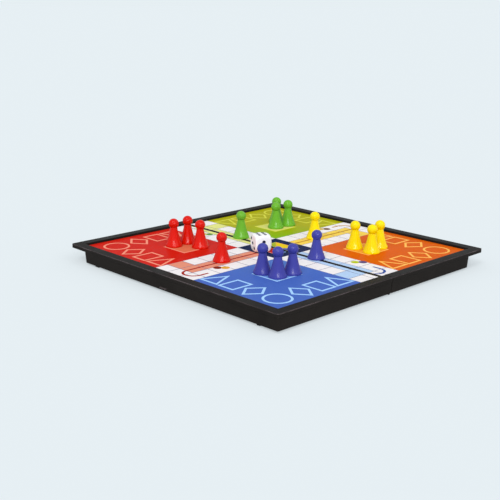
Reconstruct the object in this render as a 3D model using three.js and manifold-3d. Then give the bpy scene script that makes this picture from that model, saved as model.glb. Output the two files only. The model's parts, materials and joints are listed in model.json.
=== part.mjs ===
// Folding ludo board: two shallow plastic trays hinged along the middle of the board. Opened flat, their
// outer faces make one square board. Swung under each other, they close into a box that stores the pieces.
// Millimetres, +Z up. X runs along the fold, +Y to the rear half. The origin is on the table, under the
// middle of the opened board. Pawns and the die stand where a game is under way.
import * as THREE from 'three';
import { mergeVertices } from 'three/addons/utils/BufferGeometryUtils.js';
import Module from 'manifold-3d';

const wasm = await Module();
wasm.setup();

// Board and trays
const boardSide = 250;
const trayHeight = 13.2;
const hingeHeight = 1.6;
const closedGap = 0.3;
const foldGap = 0.6;
const wall = 1.8;
const web = 1.4;
const rimWidth = 8.5;
const rimThickness = 3.2;
const rimCornerRadius = 2.5;
const leastCornerRadius = 0.4;
const rimOverhang = 0.5;
const wallDraft = 0.8;
const cornerCut = 20;
const foldLip = 1.6;
const overrun = 1;

// Playing surface: a steel sheet with the printed sheet glued on it
const printRecess = 1.9;
const printThickness = 0.3;
const steelThickness = 0.5;
const glueLine = 0.1;
const sheetEdgeGap = 0.3;

// Locating nubs on the far walls, which are also the feet of the opened board
const nubLength = 5;
const nubThickness = 1.4;
const nubRootHeight = 5;
const nubClearance = 0.4;
const nubFromCorner = 21.5;
const secondNubFromCorner = 33;

// Hinges, one at each end of the fold
const hingeFromCorner = 3;
const knuckleLength = 7.8;
const knuckleRadius = 1.5;
const knuckleGap = 0.3;
const knuckleClearance = 0.35;
const hingePinRadius = 0.7;
const hingePinClearance = 0.15;

// Flip latch in the rear tray's far wall, and its catch on the front tray
const latchWidth = 20;
const latchReach = 6;
const latchPlate = 1.1;
const latchLip = 0.65;
const latchLipHeight = 1.5;
const latchBarrelRadius = 1.3;
const latchPivotHeight = 2.2;
const latchPivotInset = 1.7;
const latchPlateOffset = 1.7;
const latchClearance = 0.4;
const latchPinRadius = 0.6;
const latchPinClearance = 0.15;
const lugWidth = 3.5;
const lugInset = 0.2;
const catchWidth = 8;
const catchHeight = 1;
const catchRise = 1;
const catchDepth = 0.9;

// Pawns, each with a disc magnet in its base
const pawnHeight = 24.3;
const pawnBaseRadius = 7.35;
const pawnFootHeight = 1.2;
const pawnFootRounding = 0.4;
const pawnNeckRadius = 3;
const pawnHeadRadius = 4.4;
const magnetRadius = 4;
const magnetThickness = 2;
const magnetClearance = 0.2;
const standGap = 0.05;

// Die
const dieEdge = 14.8;
const dieRoundRadius = 10.4;
const dieTurn = THREE.MathUtils.degToRad(-24.4);

// The print is a grid of 15 cells each way. Places on it are shares of a cell, from the board's middle.
const cellsAcross = 15;
const pawnPlaceShares = {
  red: [[-4.16, -3.87], [-4.17, -2.86], [-2.94, -2.99], [-0.1, -3.96]],
  green: [[-3.36, 3.38], [-3.33, 4.39], [-4.36, 4.45], [-3.02, 0.18]],
  yellow: [[2.94, 3.21], [4.13, 3.22], [3.78, 4.33], [-0.06, 3.22]],
  blue: [[2.92, -3.94], [3.89, -3.84], [3.98, -2.87], [2.91, 0.09]],
};
const diePlaceShares = [-0.17, -1.01];

// Facets round a full turn
const pawnSides = 16;
const roundSides = 16;
const pinSides = 12;
const cornerSteps = 4;
const curveSteps = 4;

// Sizes worked out from the ones above
const half = boardSide / 2;
const foldSide = foldGap / 2;
const footZ = hingeHeight + closedGap / 2;
const topZ = hingeHeight + trayHeight;
const printZ = topZ - printRecess;
const steelZ = printZ - printThickness - glueLine;
const recessFloorZ = steelZ - steelThickness - glueLine;
const cavityTopZ = recessFloorZ - web;
const rimUnderZ = topZ - rimThickness;
const wallFootInset = rimOverhang + wallDraft;
const printHalf = half - rimWidth;
const cell = (printHalf * 2) / cellsAcross;
const hingeEndX = half - hingeFromCorner;
const pivotY = half - latchPivotInset;
const pivotZ = hingeHeight + latchPivotHeight;

const finishes = {
  black: { color: 0x1e1e20, roughness: 0.38, metalness: 0 },
  print: { color: 0xf2efe9, roughness: 0.45, metalness: 0 },
  steel: { color: 0xb9bcc0, roughness: 0.35, metalness: 1 },
  magnet: { color: 0x4a4b4e, roughness: 0.5, metalness: 0.6 },
  ivory: { color: 0xf4f3ef, roughness: 0.25, metalness: 0 },
  red: { color: 0xe1231e, roughness: 0.22, metalness: 0 },
  green: { color: 0x55aa2d, roughness: 0.22, metalness: 0 },
  yellow: { color: 0xfadc0a, roughness: 0.22, metalness: 0 },
  blue: { color: 0x4641aa, roughness: 0.22, metalness: 0 },
};

const board = new THREE.Group();

function addPiece(name, geometry, finish, parent = board) {
  const mesh = new THREE.Mesh(geometry, new THREE.MeshStandardMaterial(finishes[finish]));
  mesh.name = name;
  parent.add(mesh);
  return mesh;
}

// A closed geometry as a solid that can be joined and cut
function solidOf(geometry) {
  const bare = geometry.clone();
  bare.deleteAttribute('normal');
  bare.deleteAttribute('uv');
  const merged = mergeVertices(bare);
  return new wasm.Manifold(new wasm.Mesh({
    numProp: 3,
    vertProperties: merged.attributes.position.array,
    triVerts: new Uint32Array(merged.index.array),
  }));
}

function geometryOf(solid) {
  const { vertProperties, triVerts } = solid.getMesh();
  const geometry = new THREE.BufferGeometry();
  geometry.setAttribute('position', new THREE.BufferAttribute(vertProperties, 3));
  geometry.setIndex(new THREE.BufferAttribute(triVerts, 1));
  geometry.computeVertexNormals();
  return geometry;
}

function boxBetween(low, high) {
  const size = high.map((value, axis) => value - low[axis]);
  const middle = high.map((value, axis) => (value + low[axis]) / 2);
  return new THREE.BoxGeometry(...size).translate(...middle);
}

// A round bar along X, between two places on it
function barAlongX(radius, fromX, toX, y, z, sides) {
  return new THREE.CylinderGeometry(radius, radius, toX - fromX, sides)
    .rotateZ(Math.PI / 2)
    .translate((fromX + toX) / 2, y, z);
}

// A solid between two outlines with the same number of points, one above the other
function between(lower, upper, lowZ, highZ) {
  const count = lower.length;
  const positions = [...lower.flatMap((p) => [p.x, p.y, lowZ]), ...upper.flatMap((p) => [p.x, p.y, highZ])];
  const triangles = [];
  for (const [a, b, c] of THREE.ShapeUtils.triangulateShape(lower, [])) {
    triangles.push(c, b, a, a + count, b + count, c + count);
  }
  for (let i = 0; i < count; i += 1) {
    const next = (i + 1) % count;
    triangles.push(i, next, next + count, i, next + count, i + count);
  }
  const geometry = new THREE.BufferGeometry();
  geometry.setAttribute('position', new THREE.Float32BufferAttribute(positions, 3));
  geometry.setIndex(triangles);
  return geometry;
}

// Plan outline of the front tray, anticlockwise, drawn in from the rim's edge by an inset. The corner at
// the right is round. The corner at the left is round too, or cut off across.
function trayOutline(inset, foldInset, cut) {
  const edge = half - inset;
  const radius = Math.max(rimCornerRadius - inset, leastCornerRadius);
  const shape = new THREE.Shape();
  shape.moveTo(edge, -foldInset);
  shape.lineTo(-edge, -foldInset);
  if (cut) {
    const leg = cornerCut - inset * (2 - Math.SQRT2);
    shape.lineTo(-edge, leg - edge);
    shape.lineTo(leg - edge, -edge);
  } else {
    shape.absarc(radius - edge, radius - edge, radius, Math.PI, Math.PI * 1.5);
  }
  shape.absarc(edge - radius, radius - edge, radius, -Math.PI / 2, 0);
  return shape.getPoints(cornerSteps);
}

// The whole hinge at an end of the fold, which is also its pin: a span along X
function hingeSpan(end) {
  const length = knuckleLength * 3 + knuckleGap * 2;
  return [end * hingeEndX, end * (hingeEndX - length)].sort((a, b) => a - b);
}

// Knuckles at an end of the fold: spans along X, outermost first. The two trays take turns.
function knuckleSpans(end) {
  const pitch = knuckleLength + knuckleGap;
  return [0, 1, 2].map((turn) => {
    const outer = hingeEndX - turn * pitch;
    const span = [end * outer, end * (outer - knuckleLength)].sort((a, b) => a - b);
    const front = (turn === 1) === (end < 0);
    return { span, front };
  });
}

// The moulding that both trays share, made as the front one
function trayMoulding() {
  const plate = between(trayOutline(0, foldSide, false), trayOutline(0, foldSide, false), rimUnderZ, topZ);
  const skirt = between(
    trayOutline(wallFootInset, foldSide, true),
    trayOutline(rimOverhang, foldSide, true),
    footZ,
    recessFloorZ,
  );
  const cavityOutline = trayOutline(wallFootInset + wall, foldSide + wall, true);
  const cavity = between(cavityOutline, cavityOutline, footZ - overrun, cavityTopZ);
  const recess = boxBetween(
    [-printHalf, -printHalf, recessFloorZ],
    [printHalf, -foldSide - foldLip, topZ + overrun],
  );
  const lipTop = boxBetween([-printHalf, -foldSide - foldLip - overrun, printZ], [printHalf, 0, topZ + overrun]);
  let tray = solidOf(plate).add(solidOf(skirt));
  for (const cut of [cavity, recess, lipTop]) {
    tray = tray.subtract(solidOf(cut));
  }
  tray = addNubs(tray);
  return addKnuckles(tray);
}

// Two nubs just inside the far wall and standing below it. In the closed box each tray's nubs fit inside the
// other tray's walls, so the one near a corner is cut to clear the other tray's cut corner.
function addNubs(tray) {
  const innerY = half - wallFootInset - wall;
  const nubBackY = innerY - nubClearance - nubThickness;
  const room = trayOutline(wallFootInset + wall + nubClearance, 0, true);
  const otherRoom = solidOf(between(room, room, -nubRootHeight, 0).rotateY(Math.PI));
  for (const x of [half - nubFromCorner, secondNubFromCorner - half]) {
    const [fromX, toX] = [x - nubLength / 2, x + nubLength / 2];
    const nub = boxBetween([fromX, -half, 0], [toX, -nubBackY, nubRootHeight]);
    const root = boxBetween([fromX, -innerY - wall / 2, footZ], [toX, -nubBackY, nubRootHeight]);
    tray = tray.add(solidOf(nub).intersect(otherRoom)).add(solidOf(root));
  }
  return tray;
}

function addKnuckles(tray) {
  for (const end of [-1, 1]) {
    for (const { span, front } of knuckleSpans(end)) {
      const [fromX, toX] = span;
      if (front) {
        const barrel = barAlongX(knuckleRadius, fromX, toX, 0, hingeHeight, roundSides);
        const root = boxBetween([fromX, -foldSide - wall, footZ], [toX, 0, hingeHeight + knuckleRadius]);
        tray = tray.add(solidOf(barrel)).add(solidOf(root));
      } else {
        const room = barAlongX(
          knuckleRadius + knuckleClearance,
          fromX - knuckleGap,
          toX + knuckleGap,
          0,
          hingeHeight,
          roundSides,
        );
        tray = tray.subtract(solidOf(room));
      }
    }
    const [boreFrom, boreTo] = hingeSpan(end);
    const bore = barAlongX(
      hingePinRadius + hingePinClearance,
      boreFrom - knuckleGap,
      boreTo + knuckleGap,
      0,
      hingeHeight,
      pinSides,
    );
    tray = tray.subtract(solidOf(bore));
  }
  return tray;
}

// The catch that the latch hooks behind, low on the front tray's far wall
function frontTray() {
  const wallY = half - wallFootInset;
  const low = hingeHeight + catchRise;
  const catchRib = boxBetween(
    [-catchWidth / 2, -wallY - catchDepth, low],
    [catchWidth / 2, -wallY + wall / 2, low + catchHeight],
  );
  return geometryOf(trayMoulding().add(solidOf(catchRib)));
}

// The rear tray is the same moulding turned half round, with the latch's recess and lugs in its far wall
function rearTray() {
  const turned = geometryOf(trayMoulding()).rotateZ(Math.PI);
  const recessX = latchWidth / 2 + latchClearance;
  const plateDepth = latchPlateOffset + latchPlate;
  const recessBackY = pivotY - plateDepth - latchClearance;
  const recessTopZ = pivotZ + Math.hypot(plateDepth, latchReach) + latchClearance;
  const outerX = recessX + lugWidth;
  const pocket = boxBetween([-outerX, recessBackY - wall, footZ], [outerX, half - wallFootInset, recessFloorZ]);
  let tray = solidOf(turned).add(solidOf(pocket));
  for (const side of [-1, 1]) {
    const [lugFrom, lugTo] = [side * recessX, side * outerX].sort((a, b) => a - b);
    const lug = boxBetween([lugFrom, recessBackY, footZ], [lugTo, half - lugInset, rimUnderZ + overrun / 2]);
    tray = tray.add(solidOf(lug));
  }
  const recess = boxBetween(
    [-recessX, recessBackY, footZ - overrun],
    [recessX, half + overrun, recessTopZ],
  );
  const bore = barAlongX(
    latchPinRadius + latchPinClearance,
    -outerX - overrun,
    outerX + overrun,
    pivotY,
    pivotZ,
    pinSides,
  );
  return geometryOf(tray.subtract(solidOf(recess)).subtract(solidOf(bore)));
}

// The latch lies in its recess, pointing up. Swung half round it hooks behind the catch.
function latchFlap() {
  const left = -latchWidth / 2;
  const right = latchWidth / 2;
  const plateFront = pivotY - latchPlateOffset;
  const plateBack = plateFront - latchPlate;
  const tipZ = pivotZ + latchReach;
  const rootHalf = latchBarrelRadius - latchPinClearance * 2;
  const barrel = barAlongX(latchBarrelRadius, left, right, pivotY, pivotZ, roundSides);
  const root = boxBetween([left, plateBack, pivotZ - rootHalf], [right, pivotY, pivotZ + rootHalf]);
  const plate = boxBetween([left, plateBack, pivotZ - rootHalf], [right, plateFront, tipZ]);
  const lip = boxBetween([left, plateBack, tipZ - latchLipHeight], [right, plateFront + latchLip, tipZ]);
  const bore = barAlongX(
    latchPinRadius + latchPinClearance,
    left - overrun,
    right + overrun,
    pivotY,
    pivotZ,
    pinSides,
  );
  const joined = solidOf(barrel).add(solidOf(root)).add(solidOf(plate)).add(solidOf(lip));
  return geometryOf(joined.subtract(solidOf(bore)));
}

// A sheet laid in the trays' recess. The side is -1 for the front tray and 1 for the rear one.
function sheet(side, lowZ, thickness) {
  const outer = side * (printHalf - sheetEdgeGap);
  const inner = side * (foldSide + foldLip + sheetEdgeGap);
  const [fromY, toY] = [outer, inner].sort((a, b) => a - b);
  const edgeX = printHalf - sheetEdgeGap;
  return boxBetween([-edgeX, fromY, lowZ], [edgeX, toY, lowZ + thickness]);
}

// Turned profile of a pawn: a foot, a slightly hollow cone, a ball head and the magnet's pocket below
function pawnGeometry() {
  const headZ = pawnHeight - pawnHeadRadius;
  const neckAngle = Math.asin(pawnNeckRadius / pawnHeadRadius);
  const neckZ = headZ - pawnHeadRadius * Math.cos(neckAngle);
  const pocketRadius = magnetRadius + magnetClearance;
  const pocketZ = standGap + magnetThickness + magnetClearance;
  const bowShare = 0.44;
  const bowZ = pawnFootHeight + (neckZ - pawnFootHeight) * bowShare;
  const bowRadius = pawnNeckRadius + (pawnBaseRadius - pawnNeckRadius) * bowShare;
  const profile = new THREE.Path();
  profile.moveTo(0, pocketZ);
  profile.lineTo(pocketRadius, pocketZ);
  profile.lineTo(pocketRadius, 0);
  profile.lineTo(pawnBaseRadius - pawnFootRounding, 0);
  profile.lineTo(pawnBaseRadius, pawnFootRounding);
  profile.lineTo(pawnBaseRadius, pawnFootHeight);
  profile.quadraticCurveTo(bowRadius, bowZ, pawnNeckRadius, neckZ);
  profile.absarc(0, headZ, pawnHeadRadius, neckAngle - Math.PI / 2, Math.PI / 2, false);
  const points = profile.getPoints(curveSteps).filter((point, i, all) => (
    i === 0 || point.distanceTo(all[i - 1]) > 0
  ));
  points[points.length - 1].setX(0);
  const lathe = new THREE.LatheGeometry(points, pawnSides).rotateX(Math.PI / 2);
  return geometryOf(solidOf(lathe));
}

function dieGeometry() {
  const cube = new THREE.BoxGeometry(dieEdge, dieEdge, dieEdge);
  const ball = new THREE.SphereGeometry(dieRoundRadius, roundSides * 2, roundSides);
  return geometryOf(solidOf(cube).intersect(solidOf(ball)));
}

addPiece('front_tray', frontTray(), 'black');
addPiece('rear_tray', rearTray(), 'black');
for (const [name, side] of [['front', -1], ['rear', 1]]) {
  addPiece(`${name}_steel_sheet`, sheet(side, steelZ - steelThickness, steelThickness), 'steel');
  addPiece(`${name}_printed_sheet`, sheet(side, printZ - printThickness, printThickness), 'print');
}

for (const [name, end] of [['left', -1], ['right', 1]]) {
  const [fromX, toX] = hingeSpan(end);
  addPiece(`hinge_pin_${name}`, barAlongX(hingePinRadius, fromX, toX, 0, hingeHeight, pinSides), 'steel');
}

const latchPinHalf = latchWidth / 2 + latchClearance + lugWidth - latchPinClearance;
addPiece('latch_flap', latchFlap(), 'black');
addPiece('latch_pin', barAlongX(latchPinRadius, -latchPinHalf, latchPinHalf, pivotY, pivotZ, pinSides), 'steel');

const pawn = pawnGeometry();
const magnet = new THREE.CylinderGeometry(magnetRadius, magnetRadius, magnetThickness, pinSides)
  .rotateX(Math.PI / 2)
  .translate(0, 0, standGap + magnetThickness / 2);
for (const [colour, places] of Object.entries(pawnPlaceShares)) {
  places.forEach(([xShare, yShare], i) => {
    const stand = new THREE.Group();
    stand.position.set(xShare * cell, yShare * cell, printZ + standGap);
    board.add(stand);
    addPiece(`${colour}_pawn_${i + 1}`, pawn, colour, stand);
    addPiece(`${colour}_pawn_${i + 1}_magnet`, magnet, 'magnet', stand);
  });
}

const die = addPiece('die', dieGeometry(), 'ivory');
die.rotation.z = dieTurn;
die.position.set(diePlaceShares[0] * cell, diePlaceShares[1] * cell, printZ + standGap + dieEdge / 2);

export default board;
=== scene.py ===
"""Looks for a folding ludo board, opened and set up for play.

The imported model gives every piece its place. This script adds the printed pattern, the turned pawns, the
die with its pips, the finishes, the light and the camera. Metres, +Z up.
"""

import json
import math
from collections import defaultdict

import bmesh
import bpy
from mathutils import Matrix, Vector


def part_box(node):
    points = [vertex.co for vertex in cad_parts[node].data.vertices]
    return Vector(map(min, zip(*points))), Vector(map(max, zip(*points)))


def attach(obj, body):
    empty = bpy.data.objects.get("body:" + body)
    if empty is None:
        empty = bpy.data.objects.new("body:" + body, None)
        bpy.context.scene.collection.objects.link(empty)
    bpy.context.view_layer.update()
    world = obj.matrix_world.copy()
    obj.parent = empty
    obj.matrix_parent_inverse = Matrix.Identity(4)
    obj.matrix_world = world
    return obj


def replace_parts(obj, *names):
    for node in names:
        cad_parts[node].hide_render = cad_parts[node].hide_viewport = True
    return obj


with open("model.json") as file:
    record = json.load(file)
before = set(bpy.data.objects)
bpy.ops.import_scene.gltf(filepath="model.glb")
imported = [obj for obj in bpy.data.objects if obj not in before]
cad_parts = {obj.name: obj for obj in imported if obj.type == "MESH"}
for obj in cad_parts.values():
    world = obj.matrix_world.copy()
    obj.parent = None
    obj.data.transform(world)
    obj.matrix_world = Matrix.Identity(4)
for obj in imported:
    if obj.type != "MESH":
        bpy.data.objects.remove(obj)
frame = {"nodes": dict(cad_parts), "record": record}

MM = 0.001
SHARP_ANGLE = math.radians(35)
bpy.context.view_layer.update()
scene = bpy.context.scene


# Camera, at the angle and distance of the photograph

CAMERA_AZIMUTH = math.radians(46.05)
CAMERA_ELEVATION = math.radians(15.27)
CAMERA_ROLL = math.radians(0.41)
CAMERA_DISTANCE = 0.7682
CAMERA_SIDEWAYS = -0.0224
CAMERA_UPWARD = -0.0016
CAMERA_LENS_MM = 64.32
CAMERA_NEAREST = 0.01
PRINT_HEIGHT = 12.9 * MM


def add_camera():
    """A camera that circles the middle of the print, then is rolled and moved sideways and up."""
    sin_a, cos_a = math.sin(CAMERA_AZIMUTH), math.cos(CAMERA_AZIMUTH)
    sin_e, cos_e = math.sin(CAMERA_ELEVATION), math.cos(CAMERA_ELEVATION)
    back = Vector((sin_a * cos_e, -cos_a * cos_e, sin_e))
    level = Vector((cos_a, sin_a, 0))
    upright = back.cross(level)
    roll = Matrix.Rotation(CAMERA_ROLL, 3, back)
    right, up = roll @ level, roll @ upright
    place = right * CAMERA_SIDEWAYS + up * CAMERA_UPWARD + back * CAMERA_DISTANCE
    place.z += PRINT_HEIGHT
    camera = bpy.data.objects.new("camera", bpy.data.cameras.new("camera"))
    camera.data.lens = CAMERA_LENS_MM
    camera.data.clip_start = CAMERA_NEAREST
    camera.matrix_world = Matrix.Translation(place) @ Matrix((right, up, back)).transposed().to_4x4()
    scene.collection.objects.link(camera)
    scene.camera = camera


# Light, floor and backdrop

FLOOR_SIZE = 400.0
FLOOR_COLOUR = "dfe5e8"
FLOOR_ROUGHNESS = 0.7
BACKDROP_COLOUR = "e6eff3"
SHADOW_LIFT = 0.55
ROOM_COLOUR = (0.93, 0.97, 1.0, 1)
ROOM_STRENGTH = 0.62

# Each lamp's angle round the board, its height, its strength and the width of its disc. Angles in degrees
LAMPS = {
    "key": (20, 52, 1.02, 28),
    "fill": (95, 40, 0.55, 40),
    "window_1": (38, 27, 0.32, 12),
    "window_2": (50, 27, 0.32, 12),
    "window_3": (62, 27, 0.32, 12),
}
LAMP_BELOW = (46, -84, 1.9, 16)


def add_sun(name, azimuth, elevation, strength, softness):
    """A light from far off, so the whole floor is lit alike."""
    data = bpy.data.lights.new(name, "SUN")
    data.energy = strength
    data.angle = math.radians(softness)
    lamp = bpy.data.objects.new(name, data)
    lamp.rotation_euler = (math.radians(90 - elevation), 0, math.radians(azimuth))
    scene.collection.objects.link(lamp)
    return lamp


def add_world():
    """Even pale light, and behind the floor the same pale colour as the floor's own."""
    world = bpy.data.worlds.new("studio")
    world.use_nodes = True
    tree = world.node_tree
    room = tree.nodes["Background"]
    room.inputs["Color"].default_value = ROOM_COLOUR
    room.inputs["Strength"].default_value = ROOM_STRENGTH
    backdrop = add_node(tree, "ShaderNodeBackground", Color=(*linear(BACKDROP_COLOUR), 1))
    rays = add_node(tree, "ShaderNodeLightPath")
    eye_or_gloss = add_node(tree, "ShaderNodeMath", {"operation": "ADD"})
    seen = add_node(tree, "ShaderNodeMath", {"operation": "ADD", "use_clamp": True})
    choice = add_node(tree, "ShaderNodeMixShader")
    link(tree, rays, "Is Camera Ray", eye_or_gloss, 0)
    link(tree, rays, "Is Glossy Ray", eye_or_gloss, 1)
    link(tree, eye_or_gloss, "Value", seen, 0)
    link(tree, rays, "Is Transmission Ray", seen, 1)
    link(tree, seen, "Value", choice, 0)
    link(tree, room, "Background", choice, 1)
    link(tree, backdrop, "Background", choice, 2)
    link(tree, choice, "Shader", tree.nodes["World Output"], "Surface")
    scene.world = world


def add_studio():
    """The lamps and the floor. The lamp from below isn't stopped by the floor, so it lights the underside."""
    add_world()
    for name, setting in LAMPS.items():
        add_sun(name, *setting)

    mesh = bpy.data.meshes.new("floor")
    reach = FLOOR_SIZE / 2
    corners = [(-reach, -reach, 0), (reach, -reach, 0), (reach, reach, 0), (-reach, reach, 0)]
    mesh.from_pydata(corners, [], [(0, 1, 2, 3)])
    floor = bpy.data.objects.new("floor", mesh)
    scene.collection.objects.link(floor)
    floor.data.materials.append(floor_paper())

    passed = bpy.data.collections.new("passed_by_the_lamp_below")
    passed.objects.link(floor)
    passed.collection_objects[0].light_linking.link_state = "EXCLUDE"
    add_sun("below", *LAMP_BELOW).light_linking.blocker_collection = passed


def floor_paper():
    """Pale paper. To the eye its shadows are lifted towards the backdrop, and from below it is clear."""
    material = bpy.data.materials.new("floor_paper")
    material.use_nodes = True
    tree = material.node_tree
    paper = tree.nodes["Principled BSDF"]
    paper.inputs["Base Color"].default_value = (*linear(FLOOR_COLOUR), 1)
    paper.inputs["Roughness"].default_value = FLOOR_ROUGHNESS
    paper.inputs["Specular IOR Level"].default_value = 0.0
    glow = add_node(tree, "ShaderNodeEmission", Color=(*linear(BACKDROP_COLOUR), 1))
    rays = add_node(tree, "ShaderNodeLightPath")
    share = add_node(tree, "ShaderNodeMath", {"operation": "MULTIPLY"})
    share.inputs[1].default_value = SHADOW_LIFT
    lifted = add_node(tree, "ShaderNodeMixShader")
    side = add_node(tree, "ShaderNodeNewGeometry")
    clear = add_node(tree, "ShaderNodeBsdfTransparent")
    seen = add_node(tree, "ShaderNodeMixShader")
    link(tree, rays, "Is Camera Ray", share, 0)
    link(tree, share, "Value", lifted, 0)
    link(tree, paper, "BSDF", lifted, 1)
    link(tree, glow, "Emission", lifted, 2)
    link(tree, side, "Backfacing", seen, 0)
    link(tree, lifted, "Shader", seen, 1)
    link(tree, clear, "BSDF", seen, 2)
    link(tree, seen, "Shader", tree.nodes["Material Output"], "Surface")
    return material


# Finishes

def linear(code):
    """A colour written as six hex digits, in the renderer's linear values."""
    shares = [int(code[i:i + 2], 16) / 255 for i in (0, 2, 4)]
    return [s / 12.92 if s <= 0.04045 else ((s + 0.055) / 1.055) ** 2.4 for s in shares]


def new_group(name, inputs, outputs):
    """An empty shader node group with named sockets, and its input and output nodes."""
    group = bpy.data.node_groups.new(name, "ShaderNodeTree")
    for socket_name, kind, value in inputs:
        socket = group.interface.new_socket(name=socket_name, in_out="INPUT", socket_type=kind)
        socket.default_value = value
    for socket_name, kind in outputs:
        group.interface.new_socket(name=socket_name, in_out="OUTPUT", socket_type=kind)
    return group, group.nodes.new("NodeGroupInput"), group.nodes.new("NodeGroupOutput")


def add_node(tree, kind, settings=None, **inputs):
    """A node with its settings and unlinked inputs. Input names use _ for a space."""
    node = tree.nodes.new(kind)
    for name, value in (settings or {}).items():
        setattr(node, name, value)
    for name, value in inputs.items():
        node.inputs[name.replace("_", " ")].default_value = value
    return node


def link(tree, source, socket, target, target_socket):
    tree.links.new(source.outputs[socket], target.inputs[target_socket])


def make_moulded_grain():
    """Fine grain of a textured mould, slow patches where it is handled, and a painted highlight that makes
    upward edges paler in patches.
    """
    group, inside, outside = new_group(
        "moulded_grain",
        [("Plastic", "NodeSocketColor", (0.5, 0.5, 0.5, 1)),
         ("Rubbed Edge", "NodeSocketColor", (0.5, 0.5, 0.5, 1)),
         ("Edge Radius", "NodeSocketFloat", 0.0), ("Rubbed From", "NodeSocketFloat", 0.0),
         ("Mottle", "NodeSocketFloat", 0.06),
         ("Grain Scale", "NodeSocketFloat", 2500.0), ("Patch Scale", "NodeSocketFloat", 45.0),
         ("Least Roughness", "NodeSocketFloat", 0.35), ("Most Roughness", "NodeSocketFloat", 0.5)],
        [("Colour", "NodeSocketColor"), ("Height", "NodeSocketFloat"), ("Roughness", "NodeSocketFloat"),
         ("Rounded Normal", "NodeSocketVector")],
    )

    # Grain and patches, and a roughness that follows the patches.
    place = add_node(group, "ShaderNodeTexCoord")
    grain = add_node(group, "ShaderNodeTexNoise", Detail=3.0, Roughness=0.6)
    patches = add_node(group, "ShaderNodeTexNoise", Detail=4.0, Roughness=0.55, Distortion=0.6)
    spread = add_node(group, "ShaderNodeMapRange", From_Min=0.35, From_Max=0.7)
    link(group, place, "Object", grain, "Vector")
    link(group, place, "Object", patches, "Vector")
    link(group, inside, "Grain Scale", grain, "Scale")
    link(group, inside, "Patch Scale", patches, "Scale")
    link(group, patches, "Fac", spread, "Value")
    link(group, inside, "Least Roughness", spread, "To Min")
    link(group, inside, "Most Roughness", spread, "To Max")
    link(group, grain, "Fac", outside, "Height")
    link(group, spread, "Result", outside, "Roughness")

    # Round an upward edge the normal's Z times (1 - Z) is highest half-way, and on flat faces it is zero.
    # This marks the upward edges that get the painted highlight, in patches.
    rounded = add_node(group, "ShaderNodeBevel", {"samples": 6})
    own_way = add_node(
        group, "ShaderNodeVectorTransform",
        {"vector_type": "NORMAL", "convert_from": "WORLD", "convert_to": "OBJECT"},
    )
    facing = add_node(group, "ShaderNodeSeparateXYZ")
    off_level = add_node(group, "ShaderNodeMath", {"operation": "SUBTRACT"})
    off_level.inputs[0].default_value = 1.0
    slope = add_node(group, "ShaderNodeMath", {"operation": "MULTIPLY"})
    edge = add_node(group, "ShaderNodeMapRange", From_Min=0.06, From_Max=0.22)
    highlight_patches = add_node(group, "ShaderNodeMapRange", From_Min=0.35, From_Max=0.6, To_Min=0.35, To_Max=1.0)
    painted_highlight = add_node(group, "ShaderNodeMath", {"operation": "MULTIPLY"})
    link(group, inside, "Edge Radius", rounded, "Radius")
    link(group, rounded, "Normal", outside, "Rounded Normal")
    link(group, rounded, "Normal", own_way, "Vector")
    link(group, own_way, "Vector", facing, "Vector")
    link(group, facing, "Z", off_level, 1)
    link(group, facing, "Z", slope, 0)
    link(group, off_level, "Value", slope, 1)
    link(group, slope, "Value", edge, "Value")
    link(group, patches, "Fac", highlight_patches, "Value")
    link(group, edge, "Result", painted_highlight, 0)
    link(group, highlight_patches, "Result", painted_highlight, 1)

    # Only an edge far enough from the board's middle gets the painted highlight.
    spot = add_node(group, "ShaderNodeSeparateXYZ")
    across = add_node(group, "ShaderNodeMath", {"operation": "ABSOLUTE"})
    along = add_node(group, "ShaderNodeMath", {"operation": "ABSOLUTE"})
    outermost = add_node(group, "ShaderNodeMath", {"operation": "MAXIMUM"})
    outside_edge = add_node(group, "ShaderNodeMath", {"operation": "GREATER_THAN"})
    highlight_mask = add_node(group, "ShaderNodeMath", {"operation": "MULTIPLY"})
    link(group, place, "Object", spot, "Vector")
    link(group, spot, "X", across, 0)
    link(group, spot, "Y", along, 0)
    link(group, across, "Value", outermost, 0)
    link(group, along, "Value", outermost, 1)
    link(group, outermost, "Value", outside_edge, 0)
    link(group, inside, "Rubbed From", outside_edge, 1)
    link(group, painted_highlight, "Value", highlight_mask, 0)
    link(group, outside_edge, "Value", highlight_mask, 1)

    # The colour with the painted edge highlight mixed in, lighter and darker by the patches.
    with_highlight = add_node(group, "ShaderNodeMix", {"data_type": "RGBA"})
    signed = add_node(group, "ShaderNodeMapRange", From_Min=0.35, From_Max=0.65, To_Min=-1.0, To_Max=1.0)
    amount = add_node(group, "ShaderNodeMath", {"operation": "MULTIPLY"})
    lift = add_node(group, "ShaderNodeMath", {"operation": "ADD"})
    lift.inputs[1].default_value = 1.0
    tinted = add_node(group, "ShaderNodeVectorMath", {"operation": "SCALE"})
    link(group, highlight_mask, "Value", with_highlight, "Factor")
    link(group, inside, "Plastic", with_highlight, "A")
    link(group, inside, "Rubbed Edge", with_highlight, "B")
    link(group, patches, "Fac", signed, "Value")
    link(group, signed, "Result", amount, 0)
    link(group, inside, "Mottle", amount, 1)
    link(group, amount, "Value", lift, 0)
    link(group, with_highlight, "Result", tinted, 0)
    link(group, lift, "Value", tinted, "Scale")
    link(group, tinted, "Vector", outside, "Colour")
    return group


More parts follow.
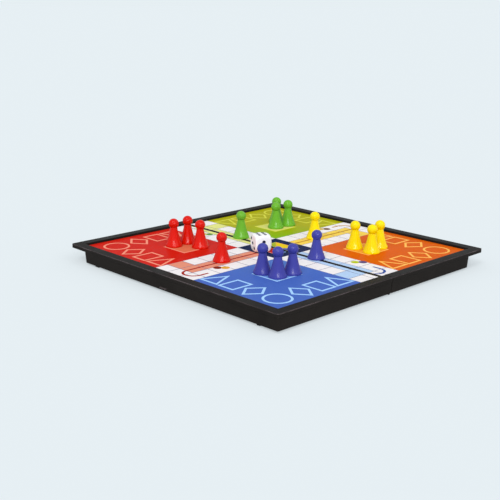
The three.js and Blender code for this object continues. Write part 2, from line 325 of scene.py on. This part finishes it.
def make_print_grain():
    """Printed ink under laminate, with a little mottle and orange peel. It may shade towards the middle."""
    group, inside, outside = new_group(
        "print_grain",
        [("Ink", "NodeSocketColor", (1, 1, 1, 1)), ("Inner Ink", "NodeSocketColor", (1, 1, 1, 1)),
         ("Mottle", "NodeSocketFloat", 0.06), ("Mottle Scale", "NodeSocketFloat", 420.0)],
        [("Colour", "NodeSocketColor"), ("Height", "NodeSocketFloat"), ("Roughness", "NodeSocketFloat")],
    )
    place = add_node(group, "ShaderNodeTexCoord")
    reach = add_node(group, "ShaderNodeVectorMath", {"operation": "LENGTH"})
    outward = add_node(group, "ShaderNodeMapRange", From_Min=40 * MM, From_Max=90 * MM)
    shaded = add_node(group, "ShaderNodeMix", {"data_type": "RGBA"})
    mottle = add_node(group, "ShaderNodeTexNoise", Detail=3.0, Roughness=0.65)
    signed = add_node(group, "ShaderNodeMapRange", From_Min=0.3, From_Max=0.7, To_Min=-1.0, To_Max=1.0)
    amount = add_node(group, "ShaderNodeMath", {"operation": "MULTIPLY"})
    lift = add_node(group, "ShaderNodeMath", {"operation": "ADD"})
    lift.inputs[1].default_value = 1.0
    tinted = add_node(group, "ShaderNodeVectorMath", {"operation": "SCALE"})
    peel = add_node(group, "ShaderNodeTexNoise", Scale=900.0, Detail=1.0)
    sheen = add_node(group, "ShaderNodeMapRange", From_Min=0.3, From_Max=0.7, To_Min=0.34, To_Max=0.46)
    link(group, place, "Object", mottle, "Vector")
    link(group, place, "Object", peel, "Vector")
    link(group, inside, "Mottle Scale", mottle, "Scale")
    link(group, mottle, "Fac", signed, "Value")
    link(group, signed, "Result", amount, 0)
    link(group, inside, "Mottle", amount, 1)
    link(group, amount, "Value", lift, 0)
    link(group, place, "Object", reach, 0)
    link(group, reach, "Value", outward, "Value")
    link(group, outward, "Result", shaded, "Factor")
    link(group, inside, "Inner Ink", shaded, "A")
    link(group, inside, "Ink", shaded, "B")
    link(group, shaded, "Result", tinted, 0)
    link(group, lift, "Value", tinted, "Scale")
    link(group, mottle, "Fac", sheen, "Value")
    link(group, tinted, "Vector", outside, "Colour")
    link(group, peel, "Fac", outside, "Height")
    link(group, sheen, "Result", outside, "Roughness")
    return group


def new_material(name, group, group_values, bump_depth, **shader_values):
    """A material whose group gives its colour, height and roughness."""
    material = bpy.data.materials.new(name)
    material.use_nodes = True
    tree = material.node_tree
    shader = tree.nodes["Principled BSDF"]
    for socket, value in shader_values.items():
        shader.inputs[socket.replace("_", " ")].default_value = value
    placed = add_node(tree, "ShaderNodeGroup", {"node_tree": group})
    for socket, value in group_values.items():
        placed.inputs[socket].default_value = value
    bump = add_node(tree, "ShaderNodeBump", Strength=1.0, Distance=bump_depth)
    link(tree, placed, "Colour", shader, "Base Color")
    link(tree, placed, "Roughness", shader, "Roughness")
    link(tree, placed, "Height", bump, "Height")
    if "Rounded Normal" in placed.outputs:
        link(tree, placed, "Rounded Normal", bump, "Normal")
    link(tree, bump, "Normal", shader, "Normal")
    return material


MOULDED_GRAIN = make_moulded_grain()
PRINT_GRAIN = make_print_grain()


def moulded(name, colour, grain, roughness, mottle, painted_highlight=None, edge=(0, 0), patch_scale=45.0, **shader):
    """A moulded, pressed or painted finish. Its grain is a bump depth and a scale. Its edge is the edges'
    rounding, and how far from the board's middle their upward slopes get the painted highlight colour."""
    values = {
        "Plastic": (*linear(colour), 1), "Rubbed Edge": (*linear(painted_highlight or colour), 1),
        "Edge Radius": edge[0], "Rubbed From": edge[1],
        "Mottle": mottle, "Grain Scale": grain[1], "Patch Scale": patch_scale,
        "Least Roughness": roughness[0], "Most Roughness": roughness[1],
    }
    return new_material(name, MOULDED_GRAIN, values, grain[0], **shader)


def tray_plastic():
    # The paler second colour is a painted highlight along the trays' outer upward edges.
    return moulded(
        "tray_plastic", "23201e", grain=(0.012 * MM, 2500.0), roughness=(0.36, 0.52), mottle=0.1,
        painted_highlight="645a5c", edge=(1.2 * MM, 123.5 * MM), Specular_IOR_Level=0.015,
    )


def pawn_plastic(colour_name, colour):
    return moulded(
        f"pawn_{colour_name}", colour, grain=(0.0004 * MM, 900.0), roughness=(0.2, 0.3), mottle=0.02,
        patch_scale=90.0, Specular_IOR_Level=0.03, Coat_Weight=0.28, Coat_Roughness=0.12,
        Subsurface_Weight=0.05, Subsurface_Radius=(1.5 * MM, 1.5 * MM, 1.5 * MM), Subsurface_Scale=1.0,
    )


def steel():
    # The paler second colour is a painted highlight on upward edges.
    return moulded(
        "steel", "bcbdc0", grain=(0.004 * MM, 1800.0), roughness=(0.28, 0.42), mottle=0.05,
        painted_highlight="d0d1d2", edge=(0.2 * MM, 0), Metallic=1.0,
    )


def ferrite():
    # The paler second colour is a painted highlight on upward edges.
    return moulded(
        "ferrite", "48494c", grain=(0.015 * MM, 2600.0), roughness=(0.5, 0.7), mottle=0.1,
        painted_highlight="5c5d60", edge=(0.2 * MM, 0), Metallic=0.3,
    )


def die_plastic():
    return moulded(
        "die_ivory", "f4f2f2", grain=(0.004 * MM, 900.0), roughness=(0.16, 0.24), mottle=0.01,
        Coat_Weight=0.3, Coat_Roughness=0.1,
    )


def pip_paint():
    return moulded(
        "pip_navy", "1c1a3c", grain=(0.004 * MM, 900.0), roughness=(0.4, 0.5), mottle=0.04,
        Specular_IOR_Level=0.02,
    )


def ink(colour, inner_colour):
    values = {"Ink": (*linear(colour), 1), "Inner Ink": (*linear(inner_colour), 1), "Mottle": 0.05}
    return new_material(f"ink_{colour}", PRINT_GRAIN, values, bump_depth=0.006 * MM, Specular_IOR_Level=0.01)


# Shapes

ON_AXIS = 1e-7


def link_mesh(name, bm, material, body):
    """Makes a piece of a bmesh that rides on a body, with the finish it is given."""
    bmesh.ops.recalc_face_normals(bm, faces=bm.faces[:])
    mesh = bpy.data.meshes.new(name)
    bm.to_mesh(mesh)
    bm.free()
    mesh.shade_smooth()
    mesh.set_sharp_from_angle(angle=SHARP_ANGLE)
    mesh.materials.append(material)
    piece = bpy.data.objects.new(name, mesh)
    scene.collection.objects.link(piece)
    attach(piece, body)
    return piece


def body_of_node(node):
    """The moving body that the record puts a CAD node on."""
    for body, nodes in frame["record"]["behaviour"]["bodies"].items():
        if node in nodes:
            return body


def arc(centre, radius, from_degrees, to_degrees, steps):
    """Points of a profile on an arc, as (distance from the axis, height)."""
    points = []
    for i in range(steps + 1):
        angle = math.radians(from_degrees + (to_degrees - from_degrees) * i / steps)
        points.append((centre[0] + radius * math.cos(angle), centre[1] + radius * math.sin(angle)))
    return points


def turned(profile, segments):
    """A bmesh turned about Z from a profile that starts and ends on the axis."""
    bm = bmesh.new()
    rings = []
    for radius, height in profile:
        if radius < ON_AXIS:
            rings.append([bm.verts.new((0, 0, height))])
            continue
        ring = []
        for i in range(segments):
            angle = math.tau * i / segments
            ring.append(bm.verts.new((radius * math.cos(angle), radius * math.sin(angle), height)))
        rings.append(ring)
    for lower, upper in zip(rings, rings[1:]):
        for i in range(segments):
            j = i + 1
            corners = [lower[i % len(lower)], lower[j % len(lower)]]
            corners += [upper[j % len(upper)], upper[i % len(upper)]]
            bm.faces.new(list(dict.fromkeys(corners)))
    return bm


# Trays, sheets and latch: CAD solids, with softened edges on the trays and latch

TRAY_EDGE = 0.4 * MM
LATCH_EDGE = 0.2 * MM
WELD_GAP = 0.001 * MM
FLAT_ANGLE = math.radians(0.5)
EDGE_SEGMENTS = 3


def soften_edges(node, width, material):
    """Rounds a CAD solid's sharp edges with modifiers. Its own mesh keeps the points it was imported with."""
    solid = frame["nodes"][node]
    mesh = solid.data
    normals = mesh.attributes.get("custom_normal")
    if normals:
        mesh.attributes.remove(normals)
    mesh.shade_smooth()
    weld = solid.modifiers.new("join", "WELD")
    weld.merge_threshold = WELD_GAP
    flat = solid.modifiers.new("flat_faces", "DECIMATE")
    flat.decimate_type = "DISSOLVE"
    flat.angle_limit = FLAT_ANGLE
    bevel = solid.modifiers.new("round_edges", "BEVEL")
    bevel.limit_method = "ANGLE"
    bevel.angle_limit = SHARP_ANGLE
    bevel.width = width
    bevel.segments = EDGE_SEGMENTS
    solid.modifiers.new("even_shading", "WEIGHTED_NORMAL")
    dress(solid, material)


def dress(solid, material):
    """Gives a CAD solid its finish."""
    solid.data.materials.clear()
    solid.data.materials.append(material)


def dress_trays(plastic, bare_steel, white_print):
    for half in ("front", "rear"):
        soften_edges(f"{half}_tray", TRAY_EDGE, plastic)
        dress(frame["nodes"][f"{half}_steel_sheet"], bare_steel)
        dress(frame["nodes"][f"{half}_printed_sheet"], white_print)
    soften_edges("latch_flap", LATCH_EDGE, plastic)


# Pins

PIN_SEGMENTS = 32
PIN_CHAMFER_SHARE = 0.25


def add_pin(node, material):
    """A drawn steel pin with chamfered ends, in place of a CAD pin that lies along X."""
    low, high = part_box(node)
    radius = (high.z - low.z) / 2
    chamfer = radius * PIN_CHAMFER_SHARE
    end = (high.x - low.x) / 2
    profile = [(0, -end), (radius - chamfer, -end), (radius, chamfer - end)]
    profile += [(radius, end - chamfer), (radius - chamfer, end), (0, end)]
    bm = turned(profile, PIN_SEGMENTS)
    turn = Matrix.Rotation(math.pi / 2, 4, "Y")
    bmesh.ops.transform(bm, matrix=Matrix.Translation((low + high) / 2) @ turn, verts=bm.verts[:])
    piece = link_mesh(f"{node}_drawn", bm, material, body_of_node(node))
    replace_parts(piece, node)


# Pawns and their magnets

PAWN_COLOURS = {"red": "d21604", "green": "68ac2c", "yellow": "f4da02", "blue": "404298"}
PAWNS_OF_A_COLOUR = 4
PAWN_SEGMENTS = 64
FOOT_STEPS = 5
FLANK_STEPS = 20
HEAD_STEPS = 24
DRAWN_HEIGHT = 24.3
NECK_SHARE = 3.0 / DRAWN_HEIGHT
HEAD_SHARE = 4.4 / DRAWN_HEIGHT
FOOT_SHARE = 1.2 / DRAWN_HEIGHT
POCKET_SHARE = 4.2 / DRAWN_HEIGHT
POCKET_DEPTH_SHARE = 2.25 / DRAWN_HEIGHT
FLANK_BOW = 0.38
FOOT_EDGE = 0.4 * MM
MAGNET_SEGMENTS = 32
MAGNET_EDGE = 0.2 * MM


def pawn_profile(height, base):
    """Magnet pocket, foot, a flank that bows inwards up to the neck, and the ball of the head."""
    neck, head, foot = height * NECK_SHARE, height * HEAD_SHARE, height * FOOT_SHARE
    pocket, pocket_top = height * POCKET_SHARE, height * POCKET_DEPTH_SHARE
    head_height = height - head
    neck_turn = math.degrees(math.asin(neck / head))
    neck_height = head_height - head * math.cos(math.radians(neck_turn))
    control = (neck + (base - neck) * FLANK_BOW, foot + (neck_height - foot) * FLANK_BOW)
    points = [(0, pocket_top), (pocket, pocket_top), (pocket, 0)]
    points += arc((base - FOOT_EDGE, FOOT_EDGE), FOOT_EDGE, -90, 0, FOOT_STEPS)
    for i in range(FLANK_STEPS + 1):
        t = i / FLANK_STEPS
        pull = [(1 - t) ** 2, 2 * t * (1 - t), t ** 2]
        radius = pull[0] * base + pull[1] * control[0] + pull[2] * neck
        rise = pull[0] * foot + pull[1] * control[1] + pull[2] * neck_height
        points.append((radius, rise))
    points += arc((0, head_height), head, neck_turn - 90, 90, HEAD_STEPS)[1:]
    points[-1] = (0, height)
    return points


def add_pawn(node, material, magnet_material):
    """A turned pawn and the disc magnet in its foot, each in the place of its CAD solid."""
    low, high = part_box(node)
    body = body_of_node(node)
    foot = Vector(((low.x + high.x) / 2, (low.y + high.y) / 2, low.z))
    bm = turned(pawn_profile(high.z - low.z, (high.x - low.x) / 2), PAWN_SEGMENTS)
    bmesh.ops.transform(bm, matrix=Matrix.Translation(foot), verts=bm.verts[:])
    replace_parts(link_mesh(f"{node}_turned", bm, material, body), node)

    magnet = f"{node}_magnet"
    low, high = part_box(magnet)
    radius, thickness = (high.x - low.x) / 2, high.z - low.z
    profile = [(0, 0), (radius - MAGNET_EDGE, 0), (radius, MAGNET_EDGE), (radius, thickness - MAGNET_EDGE)]
    profile += [(radius - MAGNET_EDGE, thickness), (0, thickness)]
    bm = turned(profile, MAGNET_SEGMENTS)
    centre = Matrix.Translation(((low.x + high.x) / 2, (low.y + high.y) / 2, low.z))
    bmesh.ops.transform(bm, matrix=centre, verts=bm.verts[:])
    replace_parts(link_mesh(f"{magnet}_disc", bm, magnet_material, body), magnet)


# Die

DIE_STEPS = 22
DIE_ROUNDNESS = 16
DIE_BALL_SHARE = 0.705
PIP_SPREAD_SHARE = 0.25
PIP_RADIUS = 1.5 * MM
ONE_PIP_RADIUS = 1.6 * MM
PIP_DEPTH = 0.55 * MM
PIP_DETAIL = 4
DIE_TURN = math.radians(-24.4)

# Each face's way out and first direction, and its pips as shares of the spread along its two directions
DIE_FACES = [
    ((0, 0, 1), (1, 0, 0), [(-1, -0.7), (0, -0.7), (1, -0.7), (-1, 0.7), (0, 0.7), (1, 0.7)]),
    ((1, 0, 0), (0, 1, 0), [(0, 0.5)]),
    ((0, -1, 0), (1, 0, 0), [(-1, 1), (0, 0), (1, -1)]),
    ((0, 1, 0), (1, 0, 0), [(-1, -1), (1, 1), (-1, 1), (1, -1)]),
    ((-1, 0, 0), (0, 1, 0), [(-1, 1), (1, -1)]),
    ((0, 0, -1), (1, 0, 0), [(-1, -1), (1, 1), (0, 0), (-1, 1), (1, -1)]),
]


def rounded_cube(edge):
    """A cube with round edges, and corners cut round by a ball."""
    bm = bmesh.new()
    bmesh.ops.create_cube(bm, size=2)
    bmesh.ops.subdivide_edges(bm, edges=bm.edges[:], cuts=DIE_STEPS, use_grid_fill=True)
    ball = edge * DIE_BALL_SHARE
    for vert in bm.verts:
        way = vert.co.normalized()
        total = sum((abs(x) / (edge / 2)) ** DIE_ROUNDNESS for x in way) + (1 / ball) ** DIE_ROUNDNESS
        vert.co = way * total ** (-1 / DIE_ROUNDNESS)
    return bm


def pip_cutters(edge):
    """Balls that sink each pip into its face. A face's second direction points up, or else towards +Y."""
    bm = bmesh.new()
    for normal, along, places in DIE_FACES:
        normal, along = Vector(normal), Vector(along)
        across = normal.cross(along)
        if across.z < 0 or across.y < 0 and not across.z:
            across = -across
        size = ONE_PIP_RADIUS if len(places) == 1 else PIP_RADIUS
        ball = (size ** 2 + PIP_DEPTH ** 2) / (2 * PIP_DEPTH)
        spread = edge * PIP_SPREAD_SHARE
        for u, v in places:
            centre = normal * (edge / 2 + ball - PIP_DEPTH) + along * (u * spread) + across * (v * spread)
            place = Matrix.Translation(centre)
            bmesh.ops.create_icosphere(bm, subdivisions=PIP_DETAIL, radius=ball, matrix=place)
    return bm


def add_die(ivory, navy):
    """The die with its pips sunk in, turned as it lies on the board."""
    low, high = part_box("die")
    centre = (low + high) / 2
    edge = high.z - low.z
    cutter_mesh = bpy.data.meshes.new("pip_cutters")
    pips = pip_cutters(edge)
    pips.to_mesh(cutter_mesh)
    pips.free()
    cutter_mesh.materials.append(navy)
    cutter = bpy.data.objects.new("pip_cutters", cutter_mesh)
    scene.collection.objects.link(cutter)
    die = link_mesh("die_moulded", rounded_cube(edge), ivory, "die")
    cut = die.modifiers.new("pips", "BOOLEAN")
    cut.object = cutter
    cut.solver = "EXACT"
    cut.material_mode = "TRANSFER"
    bpy.context.view_layer.update()
    cut_mesh = bpy.data.meshes.new_from_object(die.evaluated_get(bpy.context.evaluated_depsgraph_get()))
    die.modifiers.clear()
    die.data = cut_mesh
    place = Matrix.Translation(centre) @ Matrix.Rotation(DIE_TURN, 4, "Z")
    cut_mesh.transform(place)
    cut_mesh.shade_smooth()
    cut_mesh.set_sharp_from_angle(angle=SHARP_ANGLE)
    bpy.data.objects.remove(cutter)
    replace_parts(die, "die")


# Printed pattern. Places are in cells from the board's middle. It is drawn for the red quarter, which has
# the yard at the left and the arm towards -Y, and turned for the other three.

sheet_low, sheet_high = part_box("front_printed_sheet")
BOARD_CELLS = 15
CELL = (sheet_high.x - sheet_low.x) / BOARD_CELLS
HALF_BOARD = BOARD_CELLS / 2
HALF_ARM = 1.5
PAST_THE_EDGE = 7.6
INK_TOP = sheet_high.z
INK_STEP = 0.014 * MM
INK_JOIN = 0.002 * MM
FOLD_EDGE = -sheet_high.y

# Levels of ink, each film standing a step above the one before
GROUND, FIELD, STROKE = 1, 2, 3

WHITE = "ece7e7"
LINE = "74728e"
NAVY = "141e4a"
QUARTERS = [
    {"yard": "ca1e10", "inner": "ca1e10", "plate": "d6704e", "outline": "ee9278", "home": "de8e74",
     "stroke": "a02418", "wedge": "c81e14"},
    {"yard": "4666b8", "inner": "5074c2", "plate": "6a90d8", "outline": "a4cef8", "home": "b0caea",
     "stroke": "2c4c96", "wedge": "2e3f8c"},
    {"yard": "d65c08", "inner": "d65c08", "plate": "f0a030", "outline": "f8b858", "home": "f0cc50",
     "stroke": "b8800c", "wedge": "e4c210"},
    {"yard": "a8a608", "inner": "82ae18", "plate": "d6d470", "outline": "d2d244", "home": "dcdc84",
     "stroke": "b0aa34", "wedge": "a0aa30"},
]
YARD_INNERS = {colours["yard"]: colours["inner"] for colours in QUARTERS}
BADGES = [
    ("7c2814", (0.68, -4.96)), ("dca23c", (0.95, -4.66)), ("b6c214", (4.79, 1.06)), ("5c4a78", (5.06, 1.36)),
    ("6e4818", (-1.04, 5.4)), ("c8a83c", (-1.3, 5.12)), ("5c8c34", (-4.83, -0.69)), ("c8b440", (-5.1, -0.9)),
]
BADGE_RADIUS = 0.23
DISC_STEPS = 32
SHARPEST_MITRE = 0.3

PLATE = (-4.43, -4.43, -2.62, -2.62)
PLATE_LINE = 0.1
LANE = -6.27
RING_RADIUS = 0.68
RING_STEPS = 48
FIGURE_LINE = 0.125

# Figures in a lane: the middle's place along it, and an outline about that as (along, across)
FIGURES = [
    (-4.72, [(0, -0.72), (0.55, 0), (0, 0.72), (-0.55, 0)]),
    (-3.42, [(-0.48, -0.62), (0.48, -0.62), (0.48, 0.62), (-0.48, 0.62)]),
    (-2.15, [(-0.58, -0.6), (0.58, -0.6), (0, 0.68)]),
]

ARM_ROWS = 6
ARM_COLUMNS = 3
CELL_INSET = 0.021
HOOK_BEND = 0.54
HOOK_TURN = -6.46
HOOK_END = -5.95
HOOK_STEPS = 16
HOOK_LINE = 0.14

WEDGE = [(-0.88, -0.9), (0.88, -0.9), (0, -0.02)]
WEDGE_LINE = 0.05

inks = defaultdict(list)


def turn_quarter(point, quarter):
    """A point turned about the board's middle by a number of quarter turns."""
    x, y = point
    for _ in range(quarter):
        x, y = -y, x
    return x, y


def print_shape(quarter, colour, level, outline):
    """Notes a filled outline of one ink, to be made when the whole pattern is drawn."""
    inks[colour].append((level, [turn_quarter(p, quarter) for p in outline]))


def block(low_x, low_y, high_x, high_y, inset=0.0):
    return [
        (low_x + inset, low_y + inset), (high_x - inset, low_y + inset),
        (high_x - inset, high_y - inset), (low_x + inset, high_y - inset),
    ]


def disc(centre, radius, steps):
    angles = [math.tau * i / steps for i in range(steps)]
    return [(centre[0] + radius * math.cos(angle), centre[1] + radius * math.sin(angle)) for angle in angles]


def print_stroke(quarter, colour, level, path, width, closed=False):
    """A line of even width along a path, as quads with mitred joints."""
    count = len(path)
    left, right = [], []
    for i, point in enumerate(path):
        before = Vector(path[i - 1]) if closed or i else None
        after = Vector(path[(i + 1) % count]) if closed or i < count - 1 else None
        here = Vector(point)
        ways = [here - before] if before else []
        ways += [after - here] if after else []
        ways = [way.normalized() for way in ways]
        way = sum(ways, Vector((0, 0))).normalized()
        side = Vector((-way.y, way.x))
        first = Vector((-ways[0].y, ways[0].x))
        reach = width / 2 / max(side.dot(first), SHARPEST_MITRE)
        left.append(here + side * reach)
        right.append(here - side * reach)
    for i in range(count if closed else count - 1):
        j = (i + 1) % count
        print_shape(quarter, colour, level, [tuple(p) for p in (right[i], right[j], left[j], left[i])])


def print_yard(quarter, colours):
    """A yard with its plate, and two lanes of plain outlined figures that meet in a ring at the corner."""
    line = colours["outline"]
    print_shape(quarter, colours["yard"], GROUND, block(-PAST_THE_EDGE, -PAST_THE_EDGE, -HALF_ARM, -HALF_ARM))
    print_shape(quarter, colours["plate"], FIELD, block(*PLATE))
    print_stroke(quarter, line, STROKE, block(*PLATE, PLATE_LINE / 2), PLATE_LINE, closed=True)
    print_stroke(quarter, line, STROKE, disc((LANE, LANE), RING_RADIUS, RING_STEPS), FIGURE_LINE, closed=True)
    for place, figure in FIGURES:
        outline = [(place + along, LANE + across) for along, across in figure]
        mirrored = [(y, x) for x, y in reversed(outline)]
        print_stroke(quarter, line, STROKE, outline, FIGURE_LINE, closed=True)
        print_stroke(quarter, line, STROKE, mirrored, FIGURE_LINE, closed=True)


def print_arm(quarter, colours):
    """An arm's columns of cells with lines between, and the hook that starts near the board's edge."""
    print_shape(quarter, LINE, GROUND, block(-HALF_ARM, -PAST_THE_EDGE, HALF_ARM, -HALF_ARM))
    for row in range(ARM_ROWS):
        outer = -PAST_THE_EDGE if row == 0 else row - HALF_BOARD
        for column in range(ARM_COLUMNS):
            tinted = column == 1 and row > 0 or column == 0 and row == 1
            left = column - HALF_ARM
            cell = block(left, outer, left + 1, row + 1 - HALF_BOARD, CELL_INSET)
            print_shape(quarter, colours["home"] if tinted else WHITE, FIELD, cell)
    hook = [(0, -HALF_ARM), (0, HOOK_TURN)]
    for i in range(1, HOOK_STEPS):
        angle = math.pi * i / HOOK_STEPS
        hook.append((HOOK_BEND - HOOK_BEND * math.cos(angle), HOOK_TURN - HOOK_BEND * math.sin(angle)))
    hook += [(HOOK_BEND * 2, HOOK_TURN), (HOOK_BEND * 2, HOOK_END)]
    print_stroke(quarter, colours["stroke"], STROKE, hook, HOOK_LINE)


def print_badges():
    """Pairs of small overlapping discs, one pair beside each arm's middle column."""
    for i, (colour, place) in enumerate(BADGES):
        print_shape(0, colour, STROKE + i % 2, disc(place, BADGE_RADIUS, DISC_STEPS))


def print_middle():
    """The dark square in the middle, with a wedge for each colour."""
    print_shape(0, NAVY, GROUND, block(-HALF_ARM, -HALF_ARM, HALF_ARM, HALF_ARM))
    for quarter, colours in enumerate(QUARTERS):
        print_shape(quarter, colours["wedge"], FIELD, WEDGE)
        print_stroke(quarter, colours["outline"], STROKE, WEDGE, WEDGE_LINE, closed=True)


def flat_side(shapes, half):
    """The ink's outlines on one half of the board, cut at the fold and at the sheet's edges, by level."""
    side = -1 if half == "front" else 1
    levels = defaultdict(bmesh.new)
    for level, outline in shapes:
        bm = levels[level]
        bm.faces.new([bm.verts.new((x * CELL, y * CELL, 0)) for x, y in outline])
    edge = sheet_high.x
    cuts = [((0, side * FOLD_EDGE, 0), (0, -side, 0)), ((0, side * edge, 0), (0, side, 0))]
    cuts += [((edge, 0, 0), (1, 0, 0)), ((-edge, 0, 0), (-1, 0, 0))]
    for bm in levels.values():
        bmesh.ops.remove_doubles(bm, verts=bm.verts[:], dist=INK_JOIN)
        for place, normal in cuts:
            whole = bm.verts[:] + bm.edges[:] + bm.faces[:]
            bmesh.ops.bisect_plane(bm, geom=whole, plane_co=place, plane_no=normal, clear_outer=True)
    return {level: bm for level, bm in levels.items() if bm.faces}


def raise_ink(flat, target, level):
    """Adds to target a closed film on the sheet for the faces of a flat bmesh."""
    top = INK_TOP + INK_STEP * level
    low = {v: target.verts.new((v.co.x, v.co.y, INK_TOP - INK_STEP)) for v in flat.verts}
    high = {v: target.verts.new((v.co.x, v.co.y, top)) for v in flat.verts}
    for face in flat.faces:
        target.faces.new([high[v] for v in face.verts])
        target.faces.new([low[v] for v in reversed(face.verts)])
    for edge in flat.edges:
        if len(edge.link_faces) == 1:
            a, b = edge.verts
            target.faces.new([low[a], low[b], high[b], high[a]])


def print_board():
    """Draws the pattern, then makes of each colour one piece of ink on each half."""
    for quarter, colours in enumerate(QUARTERS):
        print_yard(quarter, colours)
        print_arm(quarter, colours)
    print_badges()
    print_middle()
    for colour, shapes in inks.items():
        finish = ink(colour, YARD_INNERS.get(colour, colour))
        for half in ("front", "rear"):
            levels = flat_side(shapes, half)
            if not levels:
                continue
            target = bmesh.new()
            for level, flat in levels.items():
                raise_ink(flat, target, level)
                flat.free()
            link_mesh(f"{half}_ink_{colour}", target, finish, f"{half}_half")


# The whole object

add_camera()
add_studio()

black = tray_plastic()
bare_steel = steel()
dress_trays(black, bare_steel, ink(WHITE, WHITE))
print_board()
for pin_node in ("hinge_pin_left", "hinge_pin_right", "latch_pin"):
    add_pin(pin_node, bare_steel)

magnet_finish = ferrite()
for colour_name, colour in PAWN_COLOURS.items():
    finish = pawn_plastic(colour_name, colour)
    for number in range(1, PAWNS_OF_A_COLOUR + 1):
        add_pawn(f"{colour_name}_pawn_{number}", finish, magnet_finish)
add_die(die_plastic(), pip_paint())

scene.view_settings.view_transform = "Standard"
